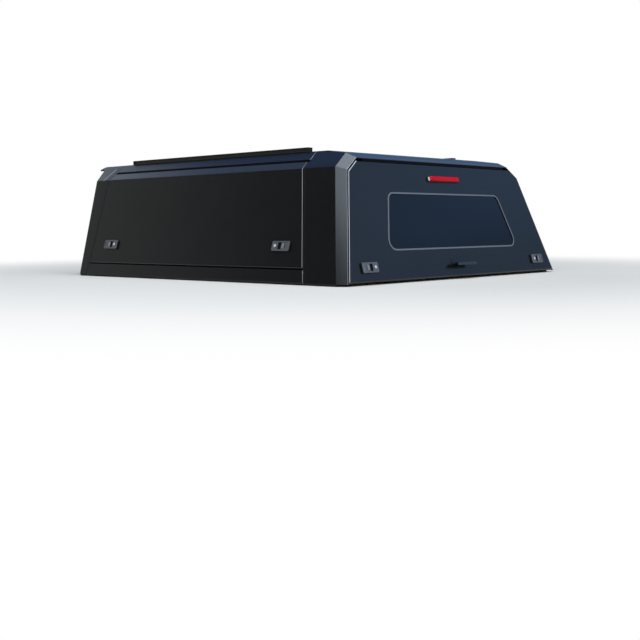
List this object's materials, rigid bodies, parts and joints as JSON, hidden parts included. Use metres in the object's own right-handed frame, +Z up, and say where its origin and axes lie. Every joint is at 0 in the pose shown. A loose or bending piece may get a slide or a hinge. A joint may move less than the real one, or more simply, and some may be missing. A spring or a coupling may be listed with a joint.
{
  "type": "pickup truck canopy",
  "caption": "Black folded-steel pickup bed canopy with lift-up side doors hinged in a slot of the roof bevel, a lift-up windowed rear door, paddle latches, brake light and roof rails.",
  "frame": {"origin": "centre of the footprint's box, on the underside of the base seal", "axes": "+X to the right of the truck, +Y towards the cab, +Z up"},
  "size_m": [1.69, 1.962, 0.5939],
  "materials": {
    "coat": "fine-textured satin black powder coat on folded steel",
    "inner_coat": "plain satin black coat on the inner pressings",
    "rubber": "matt black seal rubber",
    "aluminium": "black coated aluminium extrusion",
    "glass": "dark tinted safety glass",
    "latch": "dark grey coated die casting",
    "trim": "thin grey window frame edge",
    "red_lens": "clear red lens",
    "black_plastic": "black moulded plastic"
  },
  "bodies": {
    "root": {"base_seal": "rubber", "front_base_rail": "inner_coat", "front_roof_bow": "inner_coat", "front_roof_cap": "coat", "front_wall": "coat", "front_window_glass": "glass", "front_window_seal": "rubber", "left_base_rail": "inner_coat", "left_door_seal": "rubber", "left_front_pillar": "coat", "left_gutter": "inner_coat", "left_hinge_socket": "aluminium", "left_rear_pillar": "coat", "left_roof_rail": "aluminium", "left_sill_panel": "coat", "rear_door_seal": "rubber", "rear_gutter": "inner_coat", "rear_hinge_socket": "aluminium", "rear_roof_bow": "inner_coat", "rear_roof_panel": "coat", "right_base_rail": "inner_coat", "right_door_seal": "rubber", "right_front_pillar": "coat", "right_gutter": "inner_coat", "right_hinge_socket": "aluminium", "right_rear_pillar": "coat", "right_roof_rail": "aluminium", "right_sill_panel": "coat", "roof_panel": "coat"},
    "left_door": {"left_door_front_latch": "latch", "left_door_inner_pan": "inner_coat", "left_door_rear_latch": "latch", "left_door_skin": "coat", "left_hinge_bead": "aluminium"},
    "right_door": {"right_door_front_latch": "latch", "right_door_inner_pan": "inner_coat", "right_door_rear_latch": "latch", "right_door_skin": "coat", "right_hinge_bead": "aluminium"},
    "rear_door": {"brake_light_base": "black_plastic", "brake_light_lens": "red_lens", "rear_door_inner_pan": "inner_coat", "rear_door_left_latch": "latch", "rear_door_pull": "coat", "rear_door_right_latch": "latch", "rear_door_skin": "coat", "rear_hinge_bead": "aluminium", "rear_window_glass": "glass", "rear_window_trim": "trim"},
    "left_door_front_paddle": {"left_door_front_paddle": "latch"},
    "left_door_rear_paddle": {"left_door_rear_paddle": "latch"},
    "rear_door_left_paddle": {"rear_door_left_paddle": "latch"},
    "rear_door_right_paddle": {"rear_door_right_paddle": "latch"},
    "right_door_front_paddle": {"right_door_front_paddle": "latch"},
    "right_door_rear_paddle": {"right_door_rear_paddle": "latch"}
  },
  "joints": [
    {"name": "left_door_hinge", "type": "hinge", "parent": "root", "child": "left_door", "pos_m": [-0.63511, 0.10211, 0.52592], "axis": [0, 1, 0], "range_deg": [0, 80]},
    {"name": "right_door_hinge", "type": "hinge", "parent": "root", "child": "right_door", "pos_m": [0.63511, 0.10211, 0.52592], "axis": [0, -1, 0], "range_deg": [0, 80]},
    {"name": "rear_door_hinge", "type": "hinge", "parent": "root", "child": "rear_door", "pos_m": [0, -0.81141, 0.52645], "axis": [-1, 0, 0], "range_deg": [0, 80]},
    {"name": "left_door_front_paddle_hinge", "type": "hinge", "parent": "left_door", "child": "left_door_front_paddle", "pos_m": [-0.8026, 0.67296, 0.16197], "axis": [-0.3044, 0, -0.9525], "range_deg": [0, 35], "stiffness_Nm_per_rad": 0.6, "springref_deg": -14.32},
    {"name": "left_door_rear_paddle_hinge", "type": "hinge", "parent": "left_door", "child": "left_door_rear_paddle", "pos_m": [-0.8026, -0.60704, 0.16197], "axis": [0.3044, 0, 0.9525], "range_deg": [0, 35], "stiffness_Nm_per_rad": 0.6, "springref_deg": -14.32},
    {"name": "right_door_front_paddle_hinge", "type": "hinge", "parent": "right_door", "child": "right_door_front_paddle", "pos_m": [0.8026, 0.67296, 0.16197], "axis": [-0.3044, 0, 0.9525], "range_deg": [0, 35], "stiffness_Nm_per_rad": 0.6, "springref_deg": -14.32},
    {"name": "right_door_rear_paddle_hinge", "type": "hinge", "parent": "right_door", "child": "right_door_rear_paddle", "pos_m": [0.8026, -0.60704, 0.16197], "axis": [0.3044, 0, -0.9525], "range_deg": [0, 35], "stiffness_Nm_per_rad": 0.6, "springref_deg": -14.32},
    {"name": "rear_door_left_paddle_hinge", "type": "hinge", "parent": "rear_door", "child": "rear_door_left_paddle", "pos_m": [-0.712, -0.94863, 0.0734], "axis": [0, -0.267, -0.9637], "range_deg": [0, 35], "stiffness_Nm_per_rad": 0.6, "springref_deg": -14.32},
    {"name": "rear_door_right_paddle_hinge", "type": "hinge", "parent": "rear_door", "child": "rear_door_right_paddle", "pos_m": [0.712, -0.94863, 0.0734], "axis": [0, 0.267, 0.9637], "range_deg": [0, 35], "stiffness_Nm_per_rad": 0.6, "springref_deg": -14.32}
  ]
}
